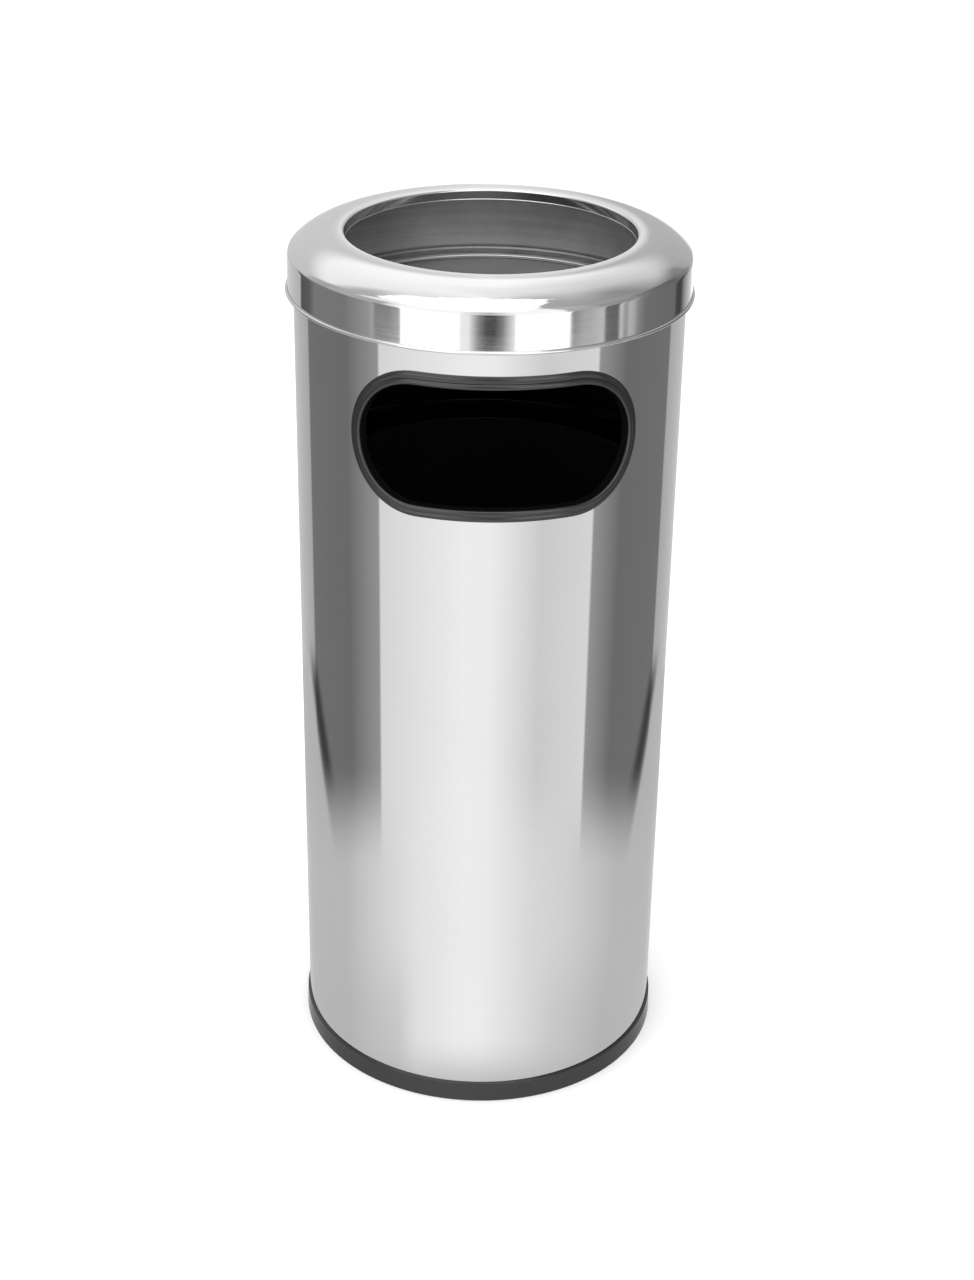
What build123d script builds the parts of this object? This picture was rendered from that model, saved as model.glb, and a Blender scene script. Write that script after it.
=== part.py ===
"""Ashtray bin: a polished steel litter bin with a lift-off ash pan under a round spun lid.

Millimetres, +Z up. The origin is the centre of the footprint on the floor, and the waste
aperture faces -Y. Revolved sheet parts are drawn as the middle line of the sheet in the
(radius, height) half-plane and thickened to the gauge of the metal.
"""
from build123d import *
import math
import os

# Driving dimensions of the body
BODY_R = 125.0           # outside radius of the rolled shell
SHELL_TOP = 571.5        # height of the shell's upper edge
SHEET = 0.6              # gauge of the shell, pan, lid and bucket
RING_HEIGHT = 14.6       # black base ring, floor to its upper edge
RING_FOOT_R = 127.0      # base ring outside radius at the floor
RING_HEAD_R = 126.5      # base ring outside radius at its upper edge
RING_FLOOR = 2.5         # thickness of plastic under the shell's lower edge
PLATE_TOP = 13.0         # height of the base plate that carries the bucket
PLATE_GAUGE = 1.0
SCREW_COUNT = 4          # screws that hold the base ring
SCREW_Z = 6.2            # height of those screws
SCREW_R = 1.7
SCREW_TIP_R = 126.2      # their bores stop inside the ring's outer wall
RING_INNER_R = 121.0     # inside of the ring's inner wall, where the heads bear
SEAT_GAP = 0.1           # a flat head stands this far off the curved wall behind it
FIT_GAP = 0.05           # gap between sheets and mouldings that fit into one another

# Waste aperture: sizes along the curved surface, and heights
TRIM_ARC = 192.0         # outside width of the trim, measured round the shell
TRIM_HEIGHT = 91.5       # outside height of the trim
OPENING_ARC = 176.0      # clear width of the aperture, measured round the shell
OPENING_HEIGHT = 77.5    # clear height of the aperture
APERTURE_Z = 486.6       # height of the aperture's centre
TRIM_PROUD = 3.0         # how far the trim's raised lip stands off the shell
FLANGE_PROUD = 1.5       # how far its outer flange stands off the shell
TRIM_WALL = 1.6          # wall of the collar that passes through the shell
COLLAR_INNER_R = 121.0   # how far in the collar reaches
FRAME_GAUGE = 2.0        # retaining frame behind the shell

# Lid: outside surfaces
LID_R = 128.7            # outside radius of the skirt at its lower edge
LID_DRAFT = 1.0          # degrees that the skirt leans in, upwards
LID_BEAD_R = 130.3       # outside radius of the rolled bead on the skirt's lower edge
LID_BEAD_Z = 549.2       # height of the bead's middle
LID_SHOULDER_Z = 571.6   # height where the skirt starts to turn over
LID_SHOULDER_BEND = 6.0  # outside radius of the shoulder
LID_CROWN_BEND = 38.3    # radius of the crowned top
LID_CROWN_SLOPE = 44.2   # degrees of slope of the crown at the shoulder
LID_HOLE_BEND = 1.3      # outside radius of the roll into the hole
LID_HOLE_R = 92.1        # smallest radius of the hole, at its lip's turned-in edge
LID_LIP_Z = 580.0        # height where the hole's down-turned lip starts to turn in
LID_LIP_BEND = 0.8       # the lip's edge is turned in by this bend
LID_LIP_TURN = 55.0      # and by this many degrees
PAD_R = 123.6            # radius of the rest pads under the lid, over the pan's rim
PAD_COUNT = 4

# Ash pan
PAN_WALL_R = 122.2       # inside radius of the pan's wall
PAN_HOOK_GAP = 0.35      # clearance between the shell and the hooked rim
PAN_HOOK_DROP = 9.5      # how far the hooked rim reaches down the outside
PAN_LEDGE_Z = 535.6      # inside height of the narrow ledge round the floor
PAN_STEP = 2.4           # drop from the ledge to the floor
PAN_STEP_R = 113.0       # radius of the middle of that step

# Inner bucket and its bail handle
BUCKET_R = 104.5         # outside radius of the bucket's wall
BUCKET_TOP = 416.5       # height of the middle of the wired rim
BUCKET_FLOOR_Z = 20.0    # underside of the recessed bucket floor
WIRE_R = 1.6             # wire inside the rim
BAIL_R = 114.5           # radius of the bail's middle line
BAIL_WIRE_R = 2.5
BAIL_PIVOT_Z = 405.0     # height of the bail's pivots
BAIL_DROOP = 14.0        # degrees below horizontal at which the bail hangs
BAIL_HOLE_GAP = 0.3      # radial clearance in the ears
GRIP_R = 5.5
GRIP_HALF_ANGLE = 22.0   # degrees of the bail, each side of its middle, under the grip
EAR_WIDTH = 34.0
EAR_HEIGHT = 15.0
EAR_GAUGE = 1.5
EAR_BOSS_WIDTH = 14.0    # raised middle of an ear, which holds the bail off the wall
EAR_FACE_R = 109.3       # how far out that raised middle stands
RIVET_SPREAD = 12.0      # rivets to each side of the pivot
RIVET_R = 1.9
CLEARANCE = 0.03         # radial gap round screws and rivets

FULL_TURN = 360
RADIAL = Plane.XZ        # x is the radius, y is the height


def save(shape, node):
    """Write one piece, or one group of identical fasteners, as parts/NODE.step."""
    export_step(shape, os.path.join("parts", node + ".step"))


def turned(face):
    """Revolve a face drawn in the (radius, height) half-plane."""
    return revolve(RADIAL * face, axis=Axis.Z, revolution_arc=FULL_TURN)


def turned_sheet(edges, gauge=SHEET):
    """Revolve a sheet whose middle line is the given chain of edges."""
    return turned(trace(edges, gauge))


def turned_ring(inner_r, outer_r, low_z, high_z):
    """Plain ring of rectangular section."""
    width, height = outer_r - inner_r, high_z - low_z
    return turned(Pos((inner_r + outer_r) / 2, (low_z + high_z) / 2) * Rectangle(width, height))


def around_z(shape, angle):
    return Rot(0, 0, angle) * shape


def along_x(shape, x, z):
    """Stand a shape that is drawn along Z on the X-Z plane, pointing along X."""
    return Pos(x, 0, z) * Rot(0, 90, 0) * shape


def oblong(arc_width, height, radius, offset=0.0):
    """Prism along -Y whose outline becomes a true oblong once it is laid on a cylinder.

    arc_width is measured round the cylinder of the given radius, and offset moves the
    outline outwards. Each round end is sampled by formula and drawn as one curve.
    """
    end_r = height / 2 + offset
    straight = (arc_width - height) / 2
    steps = 8

    def laid(angle):
        along = straight + end_r * math.cos(angle)
        return (radius * math.sin(along / radius), end_r * math.sin(angle))

    right = [laid(math.pi / 2 - math.pi * i / steps) for i in range(steps + 1)]
    left = [(-x, -z) for x, z in right]
    edges = [
        Spline(*right, tangents=[(1, 0), (-1, 0)], tangent_scalars=[1, 1]),
        Line(right[-1], left[0]),
        Spline(*left, tangents=[(-1, 0), (1, 0)], tangent_scalars=[1, 1]),
        Line(left[-1], right[0]),
    ]
    face = Plane.XZ * make_face(Curve() + edges)
    return Pos(0, 0, APERTURE_Z) * extrude(face, amount=BODY_R + TRIM_ARC)


def body_shell():
    """Rolled steel tube with the oblong cut-out and a fine welded joint down the back."""
    tube = turned_ring(BODY_R - SHEET, BODY_R, RING_FLOOR, SHELL_TOP)
    cut_out = oblong(OPENING_ARC, OPENING_HEIGHT, BODY_R, TRIM_WALL + 0.2)
    seam_width, seam_depth = 0.8, 0.2
    groove = Pos(0, BODY_R, SHELL_TOP / 2) * Box(seam_width, 2 * seam_depth, 2 * SHELL_TOP)
    return tube - cut_out - groove - screw_holes()


def base_plate():
    """Pressed steel floor of the body, with a flange turned down inside the shell."""
    flange_r = BODY_R - SHEET - FIT_GAP - PLATE_GAUGE / 2
    bend = 2.0
    flange = Line((flange_r, RING_FLOOR), (flange_r, PLATE_TOP - PLATE_GAUGE / 2 - bend))
    corner = JernArc(flange @ 1, (0, 1), bend, 90)
    disc = Line(corner @ 1, (0, PLATE_TOP - PLATE_GAUGE / 2))
    return turned_sheet([flange, corner, disc], PLATE_GAUGE) - screw_holes()


def base_ring():
    """Black plastic channel ring that the shell's lower edge stands in."""
    wall_r, wall_top = RING_INNER_R + 2.0, 9.5
    channel_r = BODY_R + SEAT_GAP
    lip_round, foot_chamfer = 0.9, 0.5
    outline = Polyline(
        (RING_INNER_R, 0),
        (RING_FOOT_R, 0),
        (RING_HEAD_R, RING_HEIGHT),
        (channel_r, RING_HEIGHT),
        (channel_r, RING_FLOOR),
        (wall_r, RING_FLOOR),
        (wall_r, wall_top),
        (RING_INNER_R, wall_top),
        close=True,
    )
    ring = turned(make_face(outline))
    circles = ring.edges().filter_by(GeomType.CIRCLE)
    lip = [e for e in circles if abs(e.radius - RING_HEAD_R) < 0.01]
    ring = fillet(lip, lip_round)
    circles = ring.edges().filter_by(GeomType.CIRCLE)
    foot = [e for e in circles if abs(e.radius - RING_FOOT_R) < 0.01]
    return chamfer(foot, foot_chamfer) - screw_holes(SCREW_TIP_R)


def on_screw_axes(shape):
    """Copies of a shape drawn along +X, one at each base screw."""
    step = FULL_TURN / SCREW_COUNT
    return [around_z(shape, step / 2 + step * i) for i in range(SCREW_COUNT)]


def screw_holes(tip=BODY_R + 1):
    """Pilot holes for the base screws, from inside the base out to the given radius."""
    start = RING_INNER_R - 1
    length = tip - start
    bore = along_x(Cylinder(SCREW_R + CLEARANCE, length), start + length / 2, SCREW_Z)
    return on_screw_axes(bore)


def base_screws():
    """Pan-head screws driven outwards through the ring, the plate's flange and the shell."""
    seat = RING_INNER_R - SEAT_GAP
    length = SCREW_TIP_R - 0.3 - seat
    head_r, head_height = 3.2, 2.2
    slot, reach = 0.9, 3.6
    shank = along_x(Cylinder(SCREW_R, length), seat + length / 2, SCREW_Z)
    head = along_x(Cylinder(head_r, head_height), seat - head_height / 2, SCREW_Z)
    head = fillet(head.edges().sort_by(Axis.X)[0], 1.0)
    cross = Box(head_height, slot, reach) + Box(head_height, reach, slot)
    cross = Pos(seat - head_height, 0, SCREW_Z) * cross
    return Compound(children=on_screw_axes(shank + head - cross))


def aperture_trim():
    """Black moulded trim: outer flange, raised rounded lip and a collar through the shell."""
    face_r = BODY_R + FIT_GAP
    lip_step = 3.4           # width of the raised lip round the opening
    mouth = oblong(OPENING_ARC, OPENING_HEIGHT, BODY_R)
    flange_cut = oblong(TRIM_ARC, TRIM_HEIGHT, BODY_R)
    lip_cut = oblong(OPENING_ARC, OPENING_HEIGHT, BODY_R, lip_step)
    collar_cut = oblong(OPENING_ARC, OPENING_HEIGHT, BODY_R, TRIM_WALL)
    low, high = APERTURE_Z - TRIM_HEIGHT, APERTURE_Z + TRIM_HEIGHT
    flange = turned_ring(face_r, BODY_R + FLANGE_PROUD, low, high) & flange_cut
    lip = turned_ring(face_r, BODY_R + TRIM_PROUD, low, high) & lip_cut
    collar = turned_ring(COLLAR_INNER_R, face_r + 0.5, low, high) & collar_cut
    return flange + lip + collar - mouth


def trim_frame():
    """Retaining frame pressed over the collar, behind the shell."""
    outer_r = BODY_R - SHEET - FIT_GAP
    step_in = 4              # the frame is this much narrower and lower than the trim
    low, high = APERTURE_Z - TRIM_HEIGHT, APERTURE_Z + TRIM_HEIGHT
    band = turned_ring(outer_r - FRAME_GAUGE, outer_r, low, high)
    outer = oblong(TRIM_ARC - step_in, TRIM_HEIGHT - step_in, BODY_R)
    inner = oblong(OPENING_ARC, OPENING_HEIGHT, BODY_R, TRIM_WALL + SEAT_GAP)
    return (band & outer) - inner


def ash_pan():
    """Drawn steel pan that hangs inside the shell by a rim hooked over the shell's edge."""
    half = SHEET / 2
    hook_r = BODY_R + PAN_HOOK_GAP + half
    wall_r = PAN_WALL_R + half
    top_z = SHELL_TOP + half
    rim_bend, foot_bend, step_bend = 1.2, 4.0, 1.2
    ledge_z = PAN_LEDGE_Z - half
    floor_z = ledge_z - PAN_STEP
    hook = Line((hook_r, SHELL_TOP - PAN_HOOK_DROP), (hook_r, top_z - rim_bend))
    over = JernArc(hook @ 1, (0, 1), rim_bend, 90)
    rim = Line(over @ 1, (wall_r + rim_bend, top_z))
    turn = JernArc(rim @ 1, (-1, 0), rim_bend, 90)
    wall = Line(turn @ 1, (wall_r, ledge_z + foot_bend))
    foot = JernArc(wall @ 1, (0, -1), foot_bend, -90)
    ledge = Line(foot @ 1, (PAN_STEP_R + step_bend, ledge_z))
    drop = JernArc(ledge @ 1, (-1, 0), step_bend, 90)
    rise = JernArc(drop @ 1, (0, -1), step_bend, -90)
    floor = Line(rise @ 1, (0, floor_z))
    return turned_sheet([hook, over, rim, turn, wall, foot, ledge, drop, rise, floor])


def lid_ring():
    """Spun lid: beaded skirt, rounded shoulder, crowned top and a hole with a straight lip."""
    half = SHEET / 2
    draft, slope = math.radians(LID_DRAFT), math.radians(LID_CROWN_SLOPE)
    skirt_rise = LID_SHOULDER_Z - LID_BEAD_Z
    low_r = LID_R - half
    high_r = low_r - skirt_rise * math.tan(draft)
    bead_bend = (LID_BEAD_R - half - low_r) / 2
    shoulder_bend, crown_bend = LID_SHOULDER_BEND - half, LID_CROWN_BEND - half
    shoulder_centre_r = high_r - shoulder_bend * math.cos(draft)
    crown_centre_r = shoulder_centre_r - (crown_bend - shoulder_bend) * math.sin(slope)
    lip_turn_in = LID_LIP_BEND * (1 - math.cos(math.radians(LID_LIP_TURN)))
    roll_centre_r = LID_HOLE_R + lip_turn_in + LID_HOLE_BEND
    end_slope = math.asin((roll_centre_r - crown_centre_r) / (LID_CROWN_BEND - LID_HOLE_BEND))
    bead = JernArc((low_r, LID_BEAD_Z), (math.sin(draft), -math.cos(draft)), bead_bend, 290)
    skirt = Line((low_r, LID_BEAD_Z), (high_r, LID_SHOULDER_Z))
    shoulder = JernArc(skirt @ 1, skirt % 1, shoulder_bend, 90 - LID_CROWN_SLOPE - LID_DRAFT)
    crown = JernArc(shoulder @ 1, shoulder % 1, crown_bend, LID_CROWN_SLOPE - math.degrees(end_slope))
    roll = JernArc(crown @ 1, crown % 1, LID_HOLE_BEND - half, 90 + math.degrees(end_slope))
    lip = Line(roll @ 1, ((roll @ 1).X, LID_LIP_Z))
    edge = JernArc(lip @ 1, (0, -1), LID_LIP_BEND, -LID_LIP_TURN)
    return turned_sheet([bead, skirt, shoulder, crown, roll, lip, edge])


def lid_pads(lid):
    """Small rubber blocks bonded under the lid; they stand on the pan's rim."""
    radial, across, tall = 2.4, 14.0, 8.0
    seat_z = SHELL_TOP + SHEET
    blank = Pos(PAD_R, 0, seat_z + tall / 2) * Box(radial, across, tall)
    pad = (blank - lid).solids().sort_by(Axis.Z)[0]
    step = FULL_TURN / PAD_COUNT
    return Compound(children=[around_z(pad, step / 2 + step * i) for i in range(PAD_COUNT)])


def bucket_wall():
    """Rolled wall of the inner bucket, its top curled outwards round a wire."""
    wall_r = BUCKET_R - SHEET / 2
    curl = WIRE_R + FIT_GAP + SHEET / 2
    side = Line((wall_r, PLATE_TOP), (wall_r, BUCKET_TOP))
    rim = JernArc(side @ 1, (0, 1), curl, -290)
    return turned_sheet([side, rim]) - ear_rivet_holes()


def bucket_rim_wire():
    """Wire inside the curled rim."""
    centre_r = BUCKET_R + WIRE_R + FIT_GAP
    return turned(Pos(centre_r, BUCKET_TOP) * Circle(WIRE_R))


def bucket_floor():
    """Recessed floor of the bucket, its flange turned down inside the wall."""
    flange_r = BUCKET_R - SHEET - FIT_GAP - SHEET / 2
    bend = 2.0
    flange = Line((flange_r, PLATE_TOP + 0.5), (flange_r, BUCKET_FLOOR_Z + SHEET / 2 - bend))
    corner = JernArc(flange @ 1, (0, 1), bend, 90)
    disc = Line(corner @ 1, (0, BUCKET_FLOOR_Z + SHEET / 2))
    return turned_sheet([flange, corner, disc])


def ear():
    """Pressed ear riveted to the bucket; its raised middle carries the bail's hooked end."""
    wall_r = BUCKET_R + CLEARANCE
    low, high = BAIL_PIVOT_Z - EAR_HEIGHT, BAIL_PIVOT_Z + EAR_HEIGHT
    band = turned_ring(wall_r, BUCKET_R + EAR_GAUGE, low, high)
    plate = band & (Pos(-BUCKET_R, 0, BAIL_PIVOT_Z) * Box(BUCKET_R, EAR_WIDTH, EAR_HEIGHT))
    depth = EAR_FACE_R - BUCKET_R + EAR_GAUGE
    boss = Pos(depth / 2 - EAR_FACE_R, 0, BAIL_PIVOT_Z) * Box(depth, EAR_BOSS_WIDTH, EAR_HEIGHT)
    boss = fillet(boss.edges().filter_by(Axis.X), 3.0)
    boss = boss - turned_ring(BUCKET_R / 2, wall_r, low, high)
    bore = along_x(Cylinder(BAIL_WIRE_R + BAIL_HOLE_GAP, BUCKET_R), -BUCKET_R, BAIL_PIVOT_Z)
    return plate + boss - bore - ear_rivet_holes()


def rivet_axes():
    """Direction, in degrees from +X, of each ear rivet."""
    spread = math.degrees(math.asin(RIVET_SPREAD / BUCKET_R))
    return [base + sign * spread for base in (0, 180) for sign in (-1, 1)]


def ear_rivet_holes():
    bore = along_x(Cylinder(RIVET_R + CLEARANCE, BUCKET_R / 4), BUCKET_R, BAIL_PIVOT_Z)
    return [around_z(bore, angle) for angle in rivet_axes()]


def ear_rivets():
    """Domed rivets, a flat tail inside the bucket and a low dome outside the ear."""
    inside = BUCKET_R - SHEET - SEAT_GAP
    outside = BUCKET_R + EAR_GAUGE + CLEARANCE
    tail, dome, head_r = 0.8, 1.2, 3.4
    shank = along_x(Cylinder(RIVET_R, outside - inside), (inside + outside) / 2, BAIL_PIVOT_Z)
    inner_head = along_x(Cylinder(head_r, tail), inside - tail / 2, BAIL_PIVOT_Z)
    outer_head = along_x(Cylinder(head_r, dome), outside + dome / 2, BAIL_PIVOT_Z)
    outer_head = fillet(outer_head.edges().sort_by(Axis.X)[-1], 0.9)
    rivet = shank + inner_head + outer_head
    return Compound(children=[around_z(rivet, angle) for angle in rivet_axes()])


def bail_plane():
    """Plane of the hanging bail: x along the pivot axis, y towards the bail's middle."""
    droop = math.radians(BAIL_DROOP)
    return Plane(
        origin=(0, 0, BAIL_PIVOT_Z),
        x_dir=(1, 0, 0),
        z_dir=(0, math.sin(droop), math.cos(droop)),
    )


def bail_handle():
    """Half-round wire bail whose ends turn in through the ears."""
    bend = 4.5
    end_x = BUCKET_R + 1.0
    lean = math.asin(bend / (BAIL_R - bend))
    elbow_x = (BAIL_R - bend) * math.cos(lean)
    turn = 90 + math.degrees(lean)
    hook_right = Line((end_x, 0), (elbow_x, 0))
    corner_right = JernArc((elbow_x, 0), (1, 0), bend, turn)
    corner_left = JernArc((-elbow_x, 0), (-1, 0), bend, -turn)
    hook_left = Line((-elbow_x, 0), (-end_x, 0))
    bow = ThreePointArc(corner_right @ 1, (0, BAIL_R), corner_left @ 1)
    path = Wire([hook_right, corner_right, bow, corner_left, hook_left])
    placed = bail_plane() * path
    section = Plane(origin=placed @ 0, z_dir=placed % 0) * Circle(BAIL_WIRE_R)
    return sweep(section, path=placed)


def handle_grip():
    """Plastic tube moulded round the middle of the bail."""
    half = math.radians(GRIP_HALF_ANGLE)
    ends = (BAIL_R * math.sin(half), BAIL_R * math.cos(half))
    line = ThreePointArc((-ends[0], ends[1]), (0, BAIL_R), ends)
    placed = bail_plane() * Wire([line])
    profile = Circle(GRIP_R) - Circle(BAIL_WIRE_R + FIT_GAP)
    section = Plane(origin=placed @ 0, z_dir=placed % 0) * profile
    return sweep(section, path=placed)


def main():
    os.makedirs("parts", exist_ok=True)
    lid = lid_ring()
    pieces = {
        "body_shell": body_shell(),
        "base_plate": base_plate(),
        "base_ring": base_ring(),
        "base_screws": base_screws(),
        "aperture_trim": aperture_trim(),
        "trim_frame": trim_frame(),
        "bucket_wall": bucket_wall(),
        "bucket_floor": bucket_floor(),
        "bucket_rim_wire": bucket_rim_wire(),
        "ear_left": ear(),
        "ear_right": around_z(ear(), 180),
        "ear_rivets": ear_rivets(),
        "bail_handle": bail_handle(),
        "handle_grip": handle_grip(),
        "ash_pan": ash_pan(),
        "lid_ring": lid,
        "lid_pads": lid_pads(lid),
    }
    for node, shape in pieces.items():
        save(shape, node)


main()
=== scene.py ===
import math

import bmesh
import bpy
from mathutils import Matrix, Vector


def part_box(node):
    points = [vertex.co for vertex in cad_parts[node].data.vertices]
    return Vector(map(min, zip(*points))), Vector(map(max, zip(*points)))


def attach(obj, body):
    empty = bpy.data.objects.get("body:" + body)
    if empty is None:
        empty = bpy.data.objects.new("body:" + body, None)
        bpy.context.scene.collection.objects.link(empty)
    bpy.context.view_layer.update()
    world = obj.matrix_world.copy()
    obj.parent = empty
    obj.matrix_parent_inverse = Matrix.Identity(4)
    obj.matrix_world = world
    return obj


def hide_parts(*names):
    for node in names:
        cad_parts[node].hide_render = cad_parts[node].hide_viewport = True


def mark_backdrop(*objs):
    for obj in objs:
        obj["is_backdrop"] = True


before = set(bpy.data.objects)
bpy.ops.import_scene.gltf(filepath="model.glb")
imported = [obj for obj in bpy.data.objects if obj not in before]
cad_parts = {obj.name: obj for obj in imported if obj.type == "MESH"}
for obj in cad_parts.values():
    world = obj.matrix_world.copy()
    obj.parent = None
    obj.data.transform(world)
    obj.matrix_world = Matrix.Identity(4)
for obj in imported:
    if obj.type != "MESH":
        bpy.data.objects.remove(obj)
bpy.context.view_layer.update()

MM = 0.001
FULL_TURN = 2 * math.pi
SEGMENTS = 288           # facets round a turned part
ARC_STEP = 6.0           # degrees of bend between the rings of a turned part
SAME_POINT = MM / 1e5    # points nearer to each other than this are one
ON_AXIS = MM / 1000      # points nearer to the Z axis than this are on it

# Camera: where it stands round the bin, how far off, how high and how it is held
CAMERA_AZIMUTH = -2.38
CAMERA_DISTANCE = 1.355
CAMERA_HEIGHT = 0.982
CAMERA_PITCH = 26.84
CAMERA_YAW = 0.081
CAMERA_ROLL = 0.988
CAMERA_LENS = 62.04
SENSOR = 36.0

# Floor and lamp for what isn't polished
FLOOR_REACH = 6.0
FLOOR_GLOW = 0.13
LAMP_SIZE = 3.0
LAMP_POWER = 30
LAMP_PLACE = (-0.4, -0.6, 2.6)
LAMP_AIM = (0, 0, 0.2)

# Steel
SHEET = 0.6 * MM
STEEL_GREY = 0.80        # how much of the light the polished steel gives back

# Lid section, outside surfaces
LID_SKIRT_R = 128.7 * MM
LID_DRAFT = 1.0          # degrees the skirt leans in
LID_SLOPE = 44.2         # degrees from level where the shoulder meets the crown
LID_SHOULDER_BEND = 6.0 * MM
LID_CROWN_BEND = 38.3 * MM
LID_HOLE_BEND = 1.3 * MM
LID_HOLE_R = 92.46 * MM  # radius of the straight part of the hole's down-turned lip
LID_LIP = 4.85 * MM      # and its height
LID_LIP_BEND = 0.8 * MM
LID_LIP_TURN = 55.0      # degrees the lip's edge turns in
BEAD_TURN = 290          # degrees the skirt's bead is rolled

# Pan section
PAN_WALL_R = 122.2 * MM
PAN_HOOK_DROP = 9.5 * MM
PAN_LEDGE_Z = 535.6 * MM
PAN_RIM_BEND = 1.2 * MM
PAN_FOOT_BEND = 4.0 * MM
PAN_STEP_BEND = 1.2 * MM
PAN_STEP_R = 113.0 * MM


# ---------------------------------------------------------------- turned parts

def walk(start, heading, moves):
    """Middle line of a bent sheet in the (radius, height) plane.

    heading is in degrees from the +radius direction. A move is (length,) for a straight
    or (radius, turn) for a bend, with turn in degrees, positive to the left. Returns the
    points and, at each point, the unit normal on the left of the line.
    """
    points, normals = [Vector(start)], []

    def left(angle):
        return Vector((-math.sin(angle), math.cos(angle)))

    angle = math.radians(heading)
    normals.append(left(angle))
    for move in moves:
        if len(move) == 1:
            ahead = Vector((math.cos(angle), math.sin(angle)))
            points.append(points[-1] + ahead * move[0])
            normals.append(left(angle))
            continue
        radius, turn = move[0], math.radians(move[1])
        side = math.copysign(1.0, turn)
        centre = points[-1] + left(angle) * radius * side
        steps = max(2, math.ceil(abs(move[1]) / ARC_STEP))
        for i in range(1, steps + 1):
            now = angle + turn * i / steps
            points.append(centre - left(now) * radius * side)
            normals.append(left(now))
        angle += turn
    return points, normals


def sheet_chains(points, normals, gauge):
    """Outline of a sheet of the given gauge, as chains of (point, normal) pairs."""
    half = gauge / 2
    one = [(p + n * half, n) for p, n in zip(points, normals)]
    other = [(p - n * half, -n) for p, n in zip(reversed(points), reversed(normals))]
    chains = [one, other]
    for a, b in ((one[-1][0], other[0][0]), (other[-1][0], one[0][0])):
        edge = b - a
        if min(a.x, b.x) > ON_AXIS:
            out = Vector((-edge.y, edge.x)).normalized()
            chains.append([(a, out), (b, out)])
    return chains


def mesh_object(name, verts, faces, loop_normals=None):
    """A smooth-shaded object from lists of points and faces."""
    mesh = bpy.data.meshes.new(name)
    mesh.from_pydata([tuple(v) for v in verts], [], faces)
    mesh.polygons.foreach_set("use_smooth", [True] * len(mesh.polygons))
    if loop_normals is not None:
        mesh.normals_split_custom_set(loop_normals)
    mesh.update()
    obj = bpy.data.objects.new(name, mesh)
    bpy.context.scene.collection.objects.link(obj)
    return obj


def lathe(name, chains):
    """Turn chains of (point, normal) pairs about Z. Points are (radius, height)."""
    rings, verts, faces, normals = {}, [], [], []
    angles = [FULL_TURN * j / SEGMENTS for j in range(SEGMENTS)]

    def ring(point):
        key = (round(point.x, 8), round(point.y, 8))
        if key not in rings:
            around = [0.0] if point.x < ON_AXIS else angles
            rings[key] = [len(verts) + j for j in range(len(around))]
            verts.extend((point.x * math.cos(a), point.x * math.sin(a), point.y) for a in around)
        return rings[key]

    for chain in chains:
        for (p, pn), (q, qn) in zip(chain, chain[1:]):
            if (p - q).length < SAME_POINT:
                continue
            low, high = ring(p), ring(q)
            for j in range(SEGMENTS):
                k = (j + 1) % SEGMENTS
                corners = [(low, j, pn), (low, k, pn), (high, k, qn), (high, j, qn)]
                face, loop = [], []
                for ids, at, n in corners:
                    vertex = ids[at % len(ids)]
                    if vertex in face:
                        continue
                    face.append(vertex)
                    loop.append((n.x * math.cos(angles[at]), n.x * math.sin(angles[at]), n.y))
                if len(face) < 3:
                    continue
                a, b, c = (Vector(verts[i]) for i in face[:3])
                if (b - a).cross(c - a).dot(Vector(loop[0]) + Vector(loop[-1])) < 0:
                    face.reverse()
                    loop.reverse()
                faces.append(face)
                normals.extend(loop)
    return mesh_object(name, verts, faces, normals)


# ---------------------------------------------------------------- aperture

TRIM_ARC = 192.0 * MM       # outside width of the trim, measured round the shell
OPENING_ARC = 176.0 * MM    # clear width, measured round the shell
OPENING_HEIGHT = 77.5 * MM
CUT_MARGIN = 1.8 * MM       # the hole in the sheet is this much larger all round

COLLAR_FACE = 0.01          # mm out from the opening's edge that is still the collar's face

# The trim's section in mm: out from the opening's edge, height above the shell, corner size
TRIM_FLANGE = (TRIM_ARC - OPENING_ARC) / 2 / MM
TRIM_SECTION = [
    (0.0, -3.9, 0.3),          # collar, inner end
    (0.0, 2.9, 1.5),           # lip, over the opening
    (3.4, 2.9, 1.3),           # lip, outer side
    (4.0, 1.25, 0.5),          # groove
    (6.4, 1.45, 0.9),          # flange
    (TRIM_FLANGE, 0.9, 0.5),   # flange edge, upper
    (TRIM_FLANGE, 0.05, 0.0),  # flange edge, on the shell
    (1.6, 0.05, 0.0),          # collar's root
    (1.6, -3.9, 0.3),          # collar, outer end
]

body_low, body_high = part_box("body_shell")
trim_low, trim_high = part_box("aperture_trim")
BODY_R = (body_high.x - body_low.x) / 2
APERTURE_Z = (trim_low.z + trim_high.z) / 2


def oblong(offset, end_steps=36, side_steps=28):
    """Points and outward normals of the aperture's outline, laid flat, anticlockwise."""
    radius = OPENING_HEIGHT / 2
    reach = (OPENING_ARC - OPENING_HEIGHT) / 2
    outline = []
    for side in (1, -1):
        for i in range(end_steps):
            a = math.pi * (i / end_steps - 0.5) + (0 if side > 0 else math.pi)
            n = Vector((math.cos(a), math.sin(a)))
            outline.append((Vector((side * reach, 0)) + n * (radius + offset), n))
        for i in range(side_steps):
            n = Vector((0, side))
            x = side * reach * (1 - 2 * i / side_steps)
            outline.append((Vector((x, side * (radius + offset))), n))
    return outline


def laid_on(radius, along, height):
    """A flat point (along, height) laid round the front of a cylinder."""
    a = along / BODY_R
    return Vector((radius * math.sin(a), -radius * math.cos(a), APERTURE_Z + height))


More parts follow.
